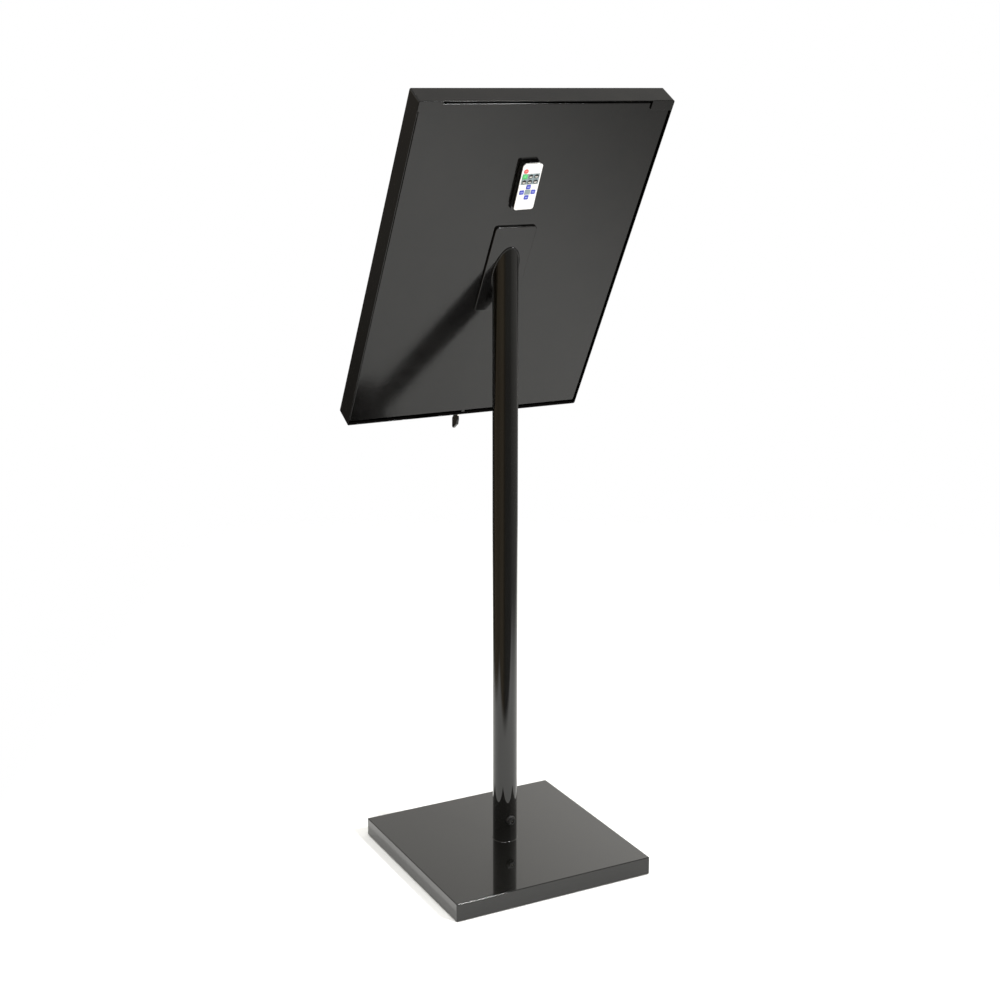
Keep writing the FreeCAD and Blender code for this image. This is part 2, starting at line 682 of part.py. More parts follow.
def key_bow():
    """Moulded grip: a plate that narrows to its lower end, with a hole for a ring."""
    low = BOW_TOP - BOW_LENGTH
    half_outline = [(BOW_TOP, 5.0), (BOW_TOP - 5.0, 8.0), (BOW_TOP - 15.0, BOW_HALF), (low, 2.2)]
    outline = [(v, LOCK_W + w) for v, w in half_outline]
    outline += [(v, LOCK_W - w) for v, w in reversed(half_outline)]
    thickness = 5.0
    points = [Vector(LOCK_U - thickness / 2.0, v, w) for v, w in outline]
    bow = prism_from(points, Vector(thickness, 0, 0))
    bow = bow.makeFillet(0.9, bow.Edges)
    hole_start = Vector(LOCK_U - 5.0, low + 6.5, LOCK_W)
    hole = rod_along(X_AXIS, 2.6, hole_start, hole_start + Vector(10.0, 0, 0))
    return moved(bow.cut(hole).cut(blade_block(0.0, BOW_TOP - 4.0, BLADE_TIP)), CASE)


# ---------------------------------------------------------------- remote and its cradle


RAIL_OUTER = 20.5
RAIL_INNER = 17.6
LIP_INNER = 15.4
CHANNEL_REAR = 2.0
LIP_REAR = 3.7
LIP_FRONT = 4.8
CRADLE_BOTTOM = -47.0
CRADLE_TOP = 43.0
PAD_THICKNESS = 0.8


def cradle_pad():
    middle = (CRADLE_BOTTOM + CRADLE_TOP) / 2.0
    return moved(rounded_box(36.0, 80.0, 0.0, PAD_THICKNESS, 4.0, 0.0, middle), REMOTE)


def remote_cradle():
    """Moulded holder: back, two grooved rails, a low end stop and three small ears on top."""
    middle = (CRADLE_BOTTOM + CRADLE_TOP) / 2.0
    length = CRADLE_TOP - CRADLE_BOTTOM
    block = rounded_box(2.0 * RAIL_OUTER, length, PAD_THICKNESS, LIP_FRONT, 4.5, 0.0, middle)
    channel = box(-RAIL_INNER, CRADLE_BOTTOM + 3.0, CHANNEL_REAR, RAIL_INNER, CRADLE_TOP + 1.0, LIP_REAR)
    mouth = box(-LIP_INNER, CRADLE_BOTTOM + 3.0, LIP_REAR - 1.0, LIP_INNER, CRADLE_TOP + 1.0, LIP_FRONT + 1.0)
    holder = block.cut(channel).cut(mouth)
    ears = [
        box(p - 2.0, CRADLE_TOP - 3.0, PAD_THICKNESS, p + 2.0, CRADLE_TOP + 2.0, CHANNEL_REAR - 0.1)
        for p in (-RAIL_OUTER + 6.0, 0.0, RAIL_OUTER - 6.0)
    ]
    return moved(joined([holder] + ears), REMOTE)


RIDER_CLEARANCE = 0.3
SHELL_WALL = 1.2
LENS_WIDTH = 27.0
CELL_TRAY_WIDTH = 26.0
CELL_TRAY_LENGTH = 32.0
CELL_TRAY_REAR = REMOTE_REAR + 1.2
CELL_TRAY_FRONT = CELL_TRAY_REAR + 2.4


def remote_back_shell():
    """Lower moulding with the T-shaped rider that the cradle's rails hold."""
    middle = (REMOTE_BOTTOM + REMOTE_TOP) / 2.0
    length = REMOTE_TOP - REMOTE_BOTTOM
    shell = rounded_box(REMOTE_WIDTH, length, REMOTE_REAR, REMOTE_FACE_REAR, 4.5, 0.0, middle)
    rear_rim = edges_at(shell, lambda b: b.ZMax < REMOTE_REAR + 0.01)
    shell = shell.makeFillet(1.0, rear_rim)
    room = rounded_box(
        REMOTE_WIDTH - 2.0 * SHELL_WALL, length - 2.0 * SHELL_WALL,
        REMOTE_REAR + 1.0, REMOTE_FACE_REAR + 1.0, 3.3, 0.0, middle
    )
    neck_half = LIP_INNER - RIDER_CLEARANCE
    foot_half = RAIL_INNER - RIDER_CLEARANCE
    low = CRADLE_BOTTOM + 3.0 + RIDER_CLEARANCE
    foot_front = LIP_REAR - RIDER_CLEARANCE
    neck = box(-neck_half, low, foot_front - 0.5, neck_half, REMOTE_TOP - 12.0, REMOTE_REAR + 0.2)
    foot_rear = CHANNEL_REAR + RIDER_CLEARANCE
    foot = box(-foot_half, low, foot_rear, foot_half, REMOTE_TOP - 12.0, foot_front)
    neck = neck.cut(room)
    end_slot = centred_box(
        CELL_TRAY_WIDTH + 0.4, 10.0, CELL_TRAY_REAR - 0.2, CELL_TRAY_FRONT + 0.2, 0.0, REMOTE_BOTTOM
    )
    lens_slot = centred_box(
        LENS_WIDTH + 0.4, 6.0, REMOTE_FACE_REAR - 3.4, REMOTE_FACE_REAR + 0.1, 0.0, REMOTE_TOP
    )
    return moved(joined([shell.cut(room), neck, foot]).cut(end_slot).cut(lens_slot), REMOTE)


def key_plan():
    """Name, place and form of each key: square side or disc radius."""
    row = [-KEY_PITCH, 0.0, KEY_PITCH]
    square = ("square", KEY_SIZE)
    plan = [("power", row[0], 33.0, ("disc", 4.2)), ("on", row[0], 22.6, ("square", 9.0))]
    plan += [("mode", row[1], 22.6, square), ("flash", row[2], 22.6, square)]
    plan += [(name, p, 12.2, square) for name, p in zip(("warm", "neutral", "cool"), row)]
    plan += [("up", 0.0, 2.0, square), ("down", 0.0, -18.4, square)]
    plan += [("left", row[0], -8.2, square), ("right", row[2], -8.2, square)]
    return plan


def key_solid(p, q, form, gap, n0, n1):
    if form[0] == "disc":
        return rod(form[1] + gap, p, q, n0, n1)
    return rounded_box(form[1] + 2.0 * gap, form[1] + 2.0 * gap, n0, n1, 1.6 + gap, p, q)


def remote_face():
    middle = (REMOTE_BOTTOM + REMOTE_TOP) / 2.0
    length = REMOTE_TOP - REMOTE_BOTTOM
    face = rounded_box(REMOTE_WIDTH, length, REMOTE_FACE_REAR, REMOTE_FACE, 4.5, 0.0, middle)
    face = face.makeFillet(0.5, edges_at(face, lambda b: b.ZMin > REMOTE_FACE - 0.01))
    for _, p, q, form in key_plan():
        face = face.cut(key_solid(p, q, form, KEY_GAP, REMOTE_FACE_REAR - 1.0, REMOTE_FACE + 1.0))
    return moved(face, REMOTE)


def remote_key(p, q, form):
    """Cap with a thin skirt that keeps it behind the face."""
    stem = key_solid(p, q, form, 0.0, REMOTE_FACE_REAR - 0.6, REMOTE_FACE + KEY_PROUD)
    stem = stem.makeFillet(0.3, edges_at(stem, lambda b: b.ZMin > REMOTE_FACE + KEY_PROUD - 0.01))
    skirt = key_solid(p, q, form, 0.7, REMOTE_FACE_REAR - 0.6, REMOTE_FACE_REAR - 0.2)
    return moved(joined([stem, skirt]), REMOTE)


def remote_emitter():
    """Clear window in the remote's top end, in front of its signal diode."""
    lens = centred_box(LENS_WIDTH, 2.6, REMOTE_FACE_REAR - 3.2, REMOTE_FACE_REAR - 0.1, 0.0, REMOTE_TOP - 1.1)
    return moved(lens, REMOTE)


def remote_pcb():
    middle = (REMOTE_BOTTOM + REMOTE_TOP) / 2.0
    length = REMOTE_TOP - REMOTE_BOTTOM - 2.0 * SHELL_WALL - 2.6
    width = REMOTE_WIDTH - 2.0 * SHELL_WALL - 0.6
    board = rounded_box(width, length, CELL_TRAY_FRONT + 0.3, CELL_TRAY_FRONT + 1.0, 3.4, 0.0, middle)
    return moved(board, REMOTE)


CELL_RADIUS = 10.0
CELL_Q = REMOTE_BOTTOM + 16.0


def battery_tray():
    high = REMOTE_BOTTOM + CELL_TRAY_LENGTH
    half = CELL_TRAY_WIDTH / 2.0
    tray = box(-half, REMOTE_BOTTOM, CELL_TRAY_REAR, half, high, CELL_TRAY_FRONT)
    grip = box(-6.0, REMOTE_BOTTOM - 0.8, CELL_TRAY_REAR, 6.0, REMOTE_BOTTOM + 0.4, CELL_TRAY_FRONT)
    seat = rod(CELL_RADIUS + 0.1, 0.0, CELL_Q, CELL_TRAY_REAR + 0.8, CELL_TRAY_FRONT + 1.0)
    return moved(joined([tray, grip]).cut(seat), REMOTE)


def coin_cell():
    cell = rod(CELL_RADIUS, 0.0, CELL_Q, CELL_TRAY_REAR + 0.8, CELL_TRAY_REAR + 2.4)
    return moved(cell, REMOTE)


# ---------------------------------------------------------------- output

PIECES = [
    base_shell, ballast_plate, cover_posts, base_cover, cover_screws, base_feet,
    column, column_foot_plug, column_bolt, mount_plate, weld_bead, plate_studs, plate_nuts,
    inlet_body, inlet_nut, inlet_pin, power_lead, cable_grommet, led_controller,
    back_tray, display_board, board_spacers, board_screws, led_strips, led_chips,
    lid_bumpers, lock_catch, hinge_bushes,
    lid_frame, glazing_tape, window, window_retainers, hinge_bosses, hinge_screws,
    lock_body, lock_nut, lock_plug, lock_cam, cam_screw, key_blade, key_bow,
    cradle_pad, remote_cradle, remote_back_shell, remote_face, remote_emitter, remote_pcb,
    battery_tray, coin_cell,
]

os.makedirs("parts", exist_ok=True)
for piece in PIECES:
    piece().exportStep("parts/" + piece.__name__ + ".step")
for name, p, q, form in key_plan():
    remote_key(p, q, form).exportStep("parts/remote_key_" + name + ".step")
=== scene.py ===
"""Looks for the sign stand: surfaces, finishes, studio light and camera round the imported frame."""

import json
import math

import bmesh
import bpy
import numpy as np
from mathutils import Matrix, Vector


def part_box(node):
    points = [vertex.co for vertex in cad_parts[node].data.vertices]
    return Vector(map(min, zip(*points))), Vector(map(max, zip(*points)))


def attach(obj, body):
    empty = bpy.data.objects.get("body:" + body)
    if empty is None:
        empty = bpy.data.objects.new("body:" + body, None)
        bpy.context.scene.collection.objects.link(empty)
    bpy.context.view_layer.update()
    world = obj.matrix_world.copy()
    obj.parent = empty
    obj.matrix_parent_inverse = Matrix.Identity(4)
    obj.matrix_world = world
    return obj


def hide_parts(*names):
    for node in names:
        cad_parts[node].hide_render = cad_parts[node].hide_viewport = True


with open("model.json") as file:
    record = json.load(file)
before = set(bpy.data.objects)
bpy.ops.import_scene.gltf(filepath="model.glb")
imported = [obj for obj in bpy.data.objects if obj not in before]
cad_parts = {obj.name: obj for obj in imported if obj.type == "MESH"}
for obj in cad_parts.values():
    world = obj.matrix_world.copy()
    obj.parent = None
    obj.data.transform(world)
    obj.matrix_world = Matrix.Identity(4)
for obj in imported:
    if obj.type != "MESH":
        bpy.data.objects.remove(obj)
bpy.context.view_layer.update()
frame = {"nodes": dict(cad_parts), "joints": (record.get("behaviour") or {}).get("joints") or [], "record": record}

MM = 0.001
LEAST_CORNER = 0.25 * MM  # corner radius left where an inset has used up the outer one
NODES = frame["nodes"]
JOINTS = {joint["name"]: joint for joint in frame["joints"]}

# The case's own directions: U across, V up the slanted face, W towards the reader.
U = np.array([1.0, 0.0, 0.0])
W = np.array(JOINTS["press_power"]["axis"], float)
W = W / np.linalg.norm(W)
V = np.cross(W, U)

# The remote's own directions: P across its face, Q along it, N out of it.
Q = np.array(JOINTS["remote_slide"]["axis"], float)
Q = Q / np.linalg.norm(Q)
N = -W
P = np.cross(Q, N)


def corners_of(node):
    """A CAD node's points, one row each."""
    mesh = NODES[node].data
    points = np.empty(len(mesh.vertices) * 3, np.float32)
    mesh.vertices.foreach_get("co", points)
    return points.reshape(-1, 3).astype(float)


def span(node, direction):
    """Lowest and highest reach of a node along a direction."""
    reach = corners_of(node) @ direction
    return reach.min(), reach.max()


LID_U, LID_V, LID_W = (span("lid_frame", d) for d in (U, V, W))
CASE_V = sum(LID_V) / 2.0
CASE_W = LID_W[0]
SHEET = 1.2 * MM


def case_point(u, v, w):
    """Points given across, up and out of the case, in the common frame."""
    u, v, w = np.broadcast_arrays(u, v, w)
    return u[..., None] * U + (CASE_V + v)[..., None] * V + (CASE_W + w)[..., None] * W


FACE_P, FACE_Q, FACE_N = (span("remote_face", d) for d in (P, Q, N))
FACE_MIDDLE = (sum(FACE_P) / 2.0, sum(FACE_Q) / 2.0, FACE_N[1])


def remote_point(p, q, n):
    """Points given from the middle of the remote's face."""
    p, q, n = np.broadcast_arrays(p, q, n)
    return (
        (FACE_MIDDLE[0] + p)[..., None] * P
        + (FACE_MIDDLE[1] + q)[..., None] * Q
        + (FACE_MIDDLE[2] + n)[..., None] * N
    )


# ---------------------------------------------------------------- surfaces


def grid_faces(rows, columns, ring_rows, ring_columns):
    """Four-sided faces over a grid of points; a ring direction closes on itself."""
    r = np.arange(rows if ring_rows else rows - 1)
    c = np.arange(columns if ring_columns else columns - 1)
    r, c = np.meshgrid(r, c, indexing="ij")
    next_r, next_c = (r + 1) % rows, (c + 1) % columns
    quads = [r * columns + c, next_r * columns + c, next_r * columns + next_c, r * columns + next_c]
    return np.stack(quads, -1).reshape(-1, 4)


def make_piece(name, grids, body, finish, replaces, crease=32.0):
    """One mesh from closed surfaces: each grid is (points, ring_rows, ring_columns).

    Edges that turn by more than crease degrees stay sharp in the shading."""
    points, faces, start = [], [], 0
    for grid, ring_rows, ring_columns in grids:
        rows, columns = grid.shape[:2]
        faces.append(grid_faces(rows, columns, ring_rows, ring_columns) + start)
        points.append(grid.reshape(-1, 3))
        start += rows * columns
    mesh = bpy.data.meshes.new(name)
    mesh.from_pydata(np.concatenate(points), [], np.concatenate(faces).tolist())
    close_and_turn_out(mesh)
    mesh.shade_smooth()
    mesh.set_sharp_from_angle(angle=math.radians(crease))
    piece = bpy.data.objects.new(name, mesh)
    bpy.context.scene.collection.objects.link(piece)
    mesh.materials.append(finish)
    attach(piece, body)
    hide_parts(replaces)


def close_and_turn_out(mesh):
    """Merges the points of seams and poles, then points every face outwards."""
    shell = bmesh.new()
    shell.from_mesh(mesh)
    bmesh.ops.remove_doubles(shell, verts=shell.verts, dist=1e-6)
    bmesh.ops.dissolve_degenerate(shell, edges=shell.edges, dist=1e-7)
    bmesh.ops.recalc_face_normals(shell, faces=shell.faces)
    shell.to_mesh(mesh)
    shell.free()


def softened(corners, steps=5, hold=0.35 * MM):
    """A closed outline (x, y, radius) with each corner rounded.

    Each corner becomes an arc tangent to its two sides, with one more point on each side just
    beyond the arc, which keeps long flat sides flat in their shading."""
    corners = [np.array(c, float) for c in corners]
    outline = []
    befores, afters = corners[-1:] + corners[:-1], corners[1:] + corners[:1]
    for before, corner, after in zip(befores, corners, afters):
        a = before[:2] - corner[:2]
        b = after[:2] - corner[:2]
        room = min(np.linalg.norm(a), np.linalg.norm(b)) / 2.0
        a, b = a / np.linalg.norm(a), b / np.linalg.norm(b)
        half = math.acos(np.clip(a @ b, -1.0, 1.0)) / 2.0
        radius = min(corner[2], 0.98 * room * math.tan(half))
        reach = radius / math.tan(half)
        if radius < 1e-7:
            outline.append(corner[:2])
            continue
        centre = corner[:2] + (a + b) / np.linalg.norm(a + b) * radius / math.sin(half)
        first, last = corner[:2] + a * reach - centre, corner[:2] + b * reach - centre
        sweep = math.atan2(first[0] * last[1] - first[1] * last[0], first @ last)
        turn = np.linspace(0.0, sweep, steps + 1)
        arc_x = first[0] * np.cos(turn) - first[1] * np.sin(turn)
        arc_y = first[0] * np.sin(turn) + first[1] * np.cos(turn)
        arc = centre + np.stack([arc_x, arc_y], -1)
        if reach + hold < room:
            outline.append(corner[:2] + a * (reach + hold))
        outline.extend(arc)
        if reach + hold < room:
            outline.append(corner[:2] + b * (reach + hold))
    return np.array(outline)


def rounded_rectangle(half_x, half_y, radius, steps=6, hold=1.0 * MM):
    """Points round a rectangle with rounded corners, as arrays of x and y.

    The corners are quarter circles; straight sides carry one more point near each corner. Every
    size gives the same number of points, so rings of different sizes join up."""
    half_x, half_y, radius = np.broadcast_arrays(half_x, half_y, radius)
    radius = np.minimum(radius, np.minimum(half_x, half_y))
    x, y = [], []
    for quarter, (sx, sy) in enumerate(((1, 1), (-1, 1), (-1, -1), (1, -1))):
        turn = (np.linspace(0.0, 1.0, steps + 1) + quarter) * math.pi / 2.0
        arc_x = sx * (half_x - radius)[..., None] + radius[..., None] * np.cos(turn)
        arc_y = sy * (half_y - radius)[..., None] + radius[..., None] * np.sin(turn)
        along = np.minimum(hold, np.minimum(half_x, half_y) - radius)[..., None]
        first, last = turn[0], turn[-1]
        x += [arc_x[..., :1] + along * math.sin(first), arc_x,
              arc_x[..., -1:] - along * math.sin(last)]
        y += [arc_y[..., :1] - along * math.cos(first), arc_y,
              arc_y[..., -1:] + along * math.cos(last)]
    return np.concatenate(x, -1), np.concatenate(y, -1)


def slab(edge_radius, half_x, half_y, corner, low, high, place):
    """A plate with rounded corners and rounded edges, closed in the middle of each face."""
    inner = min(half_x, half_y)
    profile = softened([
        (inner, low, 0.0), (0.0, low, edge_radius), (0.0, high, edge_radius), (inner, high, 0.0),
    ])
    return carried_to_centre(profile, half_x, half_y, corner, place)


def carried_to_centre(profile, half_x, half_y, corner, place):
    """A profile of (inset, height) carried round a rounded rectangle, closed in the middle.

    Each profile point gives one ring: its half sizes are the outer ones less the inset, and its
    corner radius shrinks by the inset too. A ring whose inset takes up the whole half size closes
    on the middle line. place(x, y, height) puts the points in the common frame."""
    inset, height = profile[:, 0], profile[:, 1]
    last = inset >= min(half_x, half_y) * 0.999
    radius = np.maximum(corner - inset, LEAST_CORNER)
    x, y = rounded_rectangle(half_x - inset, half_y - inset, np.where(last, 0.0, radius))
    return place(x, y, np.broadcast_to(height[:, None], x.shape))


# ---------------------------------------------------------------- finishes

# A Mix node's sockets for colours share their names with others, so they go by number.
AMOUNT, FIRST, SECOND, MIXED = 0, 6, 7, 2

# Noise is nearly all between these two values, which are spread over the wanted range.
NOISE_LOW, NOISE_HIGH = 0.3, 0.7

TRACK_PITCH = 2.0 * MM      # copper tracks on the circuit board
INK_EDGE = 0.12 * MM        # soft edge of a printed film
KEY_PITCH = 10.8 * MM       # from one key's middle to the next, across the remote
CAP_RADIUS = 4.0 * MM       # round cap of a black key
HALF_DISC_DROP = 1.5 * MM   # how far its mark lies below the middle

# Printed fields on the remote's face: middle along it, half width and half length, in mm.
PRINTED_FIELDS = ((15.9, 16.3, 10.4), (-9.7, 5.4, 4.9))


def colour(hex_text):
    """An sRGB hex colour as linear red, green, blue and alpha."""
    channels = [int(hex_text[i:i + 2], 16) / 255.0 for i in (0, 2, 4)]
    return [c / 12.92 if c <= 0.04045 else ((c + 0.055) / 1.055) ** 2.4 for c in channels] + [1.0]


def add(tree, kind, sockets=None, **settings):
    """Adds a node; a socket is given a value, or another node's output to link from."""
    node = tree.nodes.new(kind)
    for name, value in settings.items():
        setattr(node, name, value)
    for name, value in (sockets or {}).items():
        if isinstance(value, bpy.types.NodeSocket):
            tree.links.new(value, node.inputs[name])
        else:
            node.inputs[name].default_value = value
    return node


def material(name):
    """A new material and its node tree, emptied."""
    made = bpy.data.materials.new(name)
    made.use_nodes = True
    made.node_tree.nodes.clear()
    return made, made.node_tree


def uneven(tree, grain, low, high, detail=3.0, stretch=(1.0, 1.0, 1.0)):
    """Noise whose grain is a real size in metres, spread between two numbers."""
    where = add(tree, "ShaderNodeTexCoord").outputs["Object"]
    stretched = add(tree, "ShaderNodeMapping", {"Vector": where, "Scale": stretch})
    noise = add(tree, "ShaderNodeTexNoise", {
        "Vector": stretched.outputs["Vector"], "Scale": 1.0 / grain, "Detail": detail})
    return add(tree, "ShaderNodeMapRange", {
        "Value": noise.outputs["Fac"], "From Min": NOISE_LOW, "From Max": NOISE_HIGH,
        "To Min": low, "To Max": high}).outputs["Result"]


def mottled(tree, grain, dark, light, **kind):
    """Two hex colours mixed by noise of a real grain size."""
    return add(tree, "ShaderNodeMix", {
        AMOUNT: uneven(tree, grain, 0.0, 1.0, **kind), FIRST: colour(dark), SECOND: colour(light),
    }, data_type="RGBA").outputs[MIXED]


def finish_with(made, tree, relief=None, **sockets):
    """Ends a material in one Principled shader; sockets are given with _ for a space.

    relief is (height, depth): a bump whose full range is a real depth in metres."""
    values = {key.replace("_", " "): value for key, value in sockets.items()}
    if relief:
        values["Normal"] = add(tree, "ShaderNodeBump", {
            "Height": relief[0], "Distance": relief[1], "Strength": 1.0}).outputs["Normal"]
    shader = add(tree, "ShaderNodeBsdfPrincipled", values)
    add(tree, "ShaderNodeOutputMaterial", {"Surface": shader.outputs["BSDF"]})
    return made


def gloss_enamel():
    """Stoved gloss enamel on steel: a wet-looking black coat with a faint, wide orange peel.

    The coat mirrors sharply; the layer under it is rough and gives lamps a weak, wide haze."""
    made, tree = material("stoved_gloss_enamel")
    peel = uneven(tree, 9.0 * MM, 0.0, 1.0, detail=1.0)
    return finish_with(
        made, tree, (peel, 0.004 * MM),
        Base_Color=mottled(tree, 120.0 * MM, "0a0908", "0c0c0a"),
        Roughness=uneven(tree, 1.5 * MM, 0.26, 0.4), IOR=1.5, Specular_IOR_Level=0.03,
        Coat_Weight=1.0, Coat_Roughness=0.025, Coat_IOR=1.5)


def satin_enamel():
    """Sprayed satin enamel on folded sheet: soft reflections over a fine, low texture."""
    made, tree = material("sprayed_satin_enamel")
    # The real texture is about 0.3 mm; it is drawn at 1.5 mm so that it shows.
    texture = uneven(tree, 1.5 * MM, 0.0, 1.0, detail=2.0)
    return finish_with(
        made, tree, (texture, 0.006 * MM),
        Base_Color=mottled(tree, 40.0 * MM, "080808", "0e0d0c"),
        Roughness=uneven(tree, 25.0 * MM, 0.095, 0.125), IOR=1.41)


def moulded_abs(name, dark, light, low, high):
    """Injection-moulded ABS with a fine spark-eroded texture."""
    made, tree = material(name)
    texture = uneven(tree, 0.6 * MM, 0.0, 1.0, detail=2.0)
    return finish_with(
        made, tree, (texture, 0.02 * MM),
        Base_Color=mottled(tree, 14.0 * MM, dark, light),
        Roughness=uneven(tree, 5.0 * MM, low, high), IOR=1.54)


def plated(name, tint_dark, tint_light, grain, low, high, stretch=(1.0, 1.0, 1.0)):
    """A plated or bare metal: full metal reflection, broken by the grain of its making."""
    made, tree = material(name)
    grainy = uneven(tree, grain, 0.0, 1.0, detail=4.0, stretch=stretch)
    return finish_with(
        made, tree, (grainy, 0.01 * MM),
        Base_Color=mottled(tree, grain * 6.0, tint_dark, tint_light),
        Metallic=1.0, Roughness=uneven(tree, grain * 3.0, low, high, stretch=stretch))


def soft_moulding(name, dark, light, low, high):
    """Rubber, vinyl or silicone: matt, with a fine moulded grain."""
    made, tree = material(name)
    texture = uneven(tree, 0.8 * MM, 0.0, 1.0, detail=3.0)
    return finish_with(
        made, tree, (texture, 0.03 * MM),
        Base_Color=mottled(tree, 6.0 * MM, dark, light),
        Roughness=uneven(tree, 4.0 * MM, low, high), IOR=1.45)


def white_board():
    """White enamelled steel sheet that magnets hold posters to."""
    made, tree = material("white_enamel_sheet")
    peel = uneven(tree, 3.0 * MM, 0.0, 1.0, detail=2.0)
    return finish_with(
        made, tree, (peel, 0.01 * MM),
        Base_Color=mottled(tree, 60.0 * MM, "ecebe6", "f3f2ee"),
        Roughness=uneven(tree, 30.0 * MM, 0.28, 0.31), IOR=1.5)


def acrylic():
    """Clear cast acrylic: it lets nearly all light through and reflects at its faces."""
    made, tree = material("clear_cast_acrylic")
    wave = uneven(tree, 80.0 * MM, 0.0, 1.0, detail=1.0)
    return finish_with(
        made, tree, (wave, 0.004 * MM),
        Base_Color=colour("fbfdfc"), Roughness=uneven(tree, 40.0 * MM, 0.0, 0.02),
        Transmission_Weight=1.0, IOR=1.49)


def circuit_board():
    """Green solder mask over copper tracks on glass-fibre board."""
    made, tree = material("green_circuit_board")
    where = add(tree, "ShaderNodeTexCoord").outputs["Object"]
    tracks = add(tree, "ShaderNodeTexVoronoi", {
        "Vector": where, "Scale": 1.0 / TRACK_PITCH}, distance="CHEBYCHEV")
    edge = add(tree, "ShaderNodeMapRange", {
        "Value": tracks.outputs["Distance"], "From Min": 0.4, "From Max": 0.5}).outputs["Result"]
    mask = add(tree, "ShaderNodeMix", {
        AMOUNT: edge, FIRST: colour("1e6b3c"), SECOND: colour("2f8a52")},
        data_type="RGBA").outputs[MIXED]
    return finish_with(made, tree, Base_Color=mask, Roughness=0.3, IOR=1.5)


def reach_from(tree, centre, direction, pitch=None):
    """Distance along a direction from a centre, or from the nearest of a row of centres."""
    where = add(tree, "ShaderNodeTexCoord").outputs["Object"]
    offset = add(tree, "ShaderNodeVectorMath", {0: where, 1: tuple(centre)}, operation="SUBTRACT")
    along = add(tree, "ShaderNodeVectorMath", {0: offset.outputs["Vector"], 1: tuple(direction)},
                operation="DOT_PRODUCT").outputs["Value"]
    if pitch:
        step = add(tree, "ShaderNodeMath", {0: along, 1: pitch}, operation="DIVIDE").outputs[0]
        whole = add(tree, "ShaderNodeMath", {0: step}, operation="ROUND").outputs[0]
        back = add(tree, "ShaderNodeMath", {0: whole, 1: pitch}, operation="MULTIPLY").outputs[0]
        along = add(tree, "ShaderNodeMath", {0: along, 1: back}, operation="SUBTRACT").outputs[0]
    return along


def within(tree, reach, limit):
    """One where a distance is under a limit, none beyond it, with a soft edge of an ink film."""
    size = add(tree, "ShaderNodeMath", {0: reach}, operation="ABSOLUTE").outputs[0]
    return add(tree, "ShaderNodeMapRange", {
        "Value": size, "From Min": limit, "From Max": limit + INK_EDGE,
        "To Min": 1.0, "To Max": 0.0}).outputs["Result"]


def printed(tree, shade, ink, first, second):
    """A colour with an ink over it, where two masks are both one."""
    cover = add(tree, "ShaderNodeMath", {0: first, 1: second}, operation="MULTIPLY").outputs[0]
    return add(tree, "ShaderNodeMix", {
        AMOUNT: cover, FIRST: shade, SECOND: colour(ink)}, data_type="RGBA").outputs[MIXED]


def printed_face():
    """White moulded face with two blue-grey printed fields, behind the black keys and in the
    middle of the cross of blue ones."""
    made, tree = material("screen_printed_white_abs")
    shade = mottled(tree, 14.0 * MM, "fbfbfa", "ffffff")
    for middle, half_p, half_q in PRINTED_FIELDS:
        centre = remote_point(0.0, middle * MM, 0.0)
        shade = printed(tree, shade, "8f9fa3",
                        within(tree, reach_from(tree, centre, P), half_p * MM),
                        within(tree, reach_from(tree, centre, Q), half_q * MM))
    texture = uneven(tree, 0.6 * MM, 0.0, 1.0, detail=2.0)
    return finish_with(made, tree, (texture, 0.015 * MM), Base_Color=shade,
                       Roughness=uneven(tree, 5.0 * MM, 0.3, 0.4), IOR=1.5)


def silicone_key(name, dark, light, mark, row_q, pitch_q, half_p, half_q, rim=None):
    """Silicone key with a pale mark printed in the middle: a bar, or half a disc on a round cap.

    Keys of one colour share it: distances run from the nearest of the keys' own centres, which
    lie KEY_PITCH apart across the remote and pitch_q along it."""
    made, tree = material(name)
    centre = remote_point(0.0, row_q * MM, 0.0)
    across = reach_from(tree, centre, P, KEY_PITCH)
    along = reach_from(tree, centre, Q, pitch_q)
    shade = mottled(tree, 6.0 * MM, dark, light)
    if rim:
        flat = add(tree, "ShaderNodeCombineXYZ", {"X": across, "Y": along}).outputs["Vector"]
        radius = add(tree, "ShaderNodeVectorMath", {0: flat}, operation="LENGTH").outputs["Value"]
        shade = add(tree, "ShaderNodeMix", {
            AMOUNT: within(tree, radius, CAP_RADIUS), FIRST: colour(rim), SECOND: shade,
        }, data_type="RGBA").outputs[MIXED]
        along = add(tree, "ShaderNodeMath", {0: along, 1: HALF_DISC_DROP}).outputs[0]
        across = radius
    shade = printed(tree, shade, mark, within(tree, across, half_p * MM),
                    within(tree, along, half_q * MM))
    texture = uneven(tree, 0.8 * MM, 0.0, 1.0, detail=3.0)
    return finish_with(made, tree, (texture, 0.02 * MM), Base_Color=shade,
                       Roughness=uneven(tree, 4.0 * MM, 0.4, 0.55), IOR=1.42)


GLOSS = gloss_enamel()
SATIN = satin_enamel()
BLACK_ABS = moulded_abs("moulded_black_abs", "0f0f0f", "141414", 0.32, 0.42)
WHITE_ABS = printed_face()
NICKEL = plated("bright_nickel_plate", "c9c4ba", "d6d1c8", 0.8 * MM, 0.14, 0.24)
ZINC = plated("zinc_plated_steel", "b3b6bb", "c3c6ca", 1.2 * MM, 0.26, 0.4)
STEEL = plated("mill_finish_steel", "6b6a68", "85837f", 2.5 * MM, 0.38, 0.6,
               stretch=(1.0, 0.2, 1.0))
ALUMINIUM = plated("turned_aluminium", "c5c7c9", "d4d5d6", 0.6 * MM, 0.24, 0.36,
                   stretch=(1.0, 1.0, 4.0))
BRONZE = plated("sintered_bronze", "8c6a3e", "a5804d", 0.5 * MM, 0.34, 0.5)
RUBBER = soft_moulding("moulded_rubber", "151515", "1d1d1c", 0.7, 0.85)
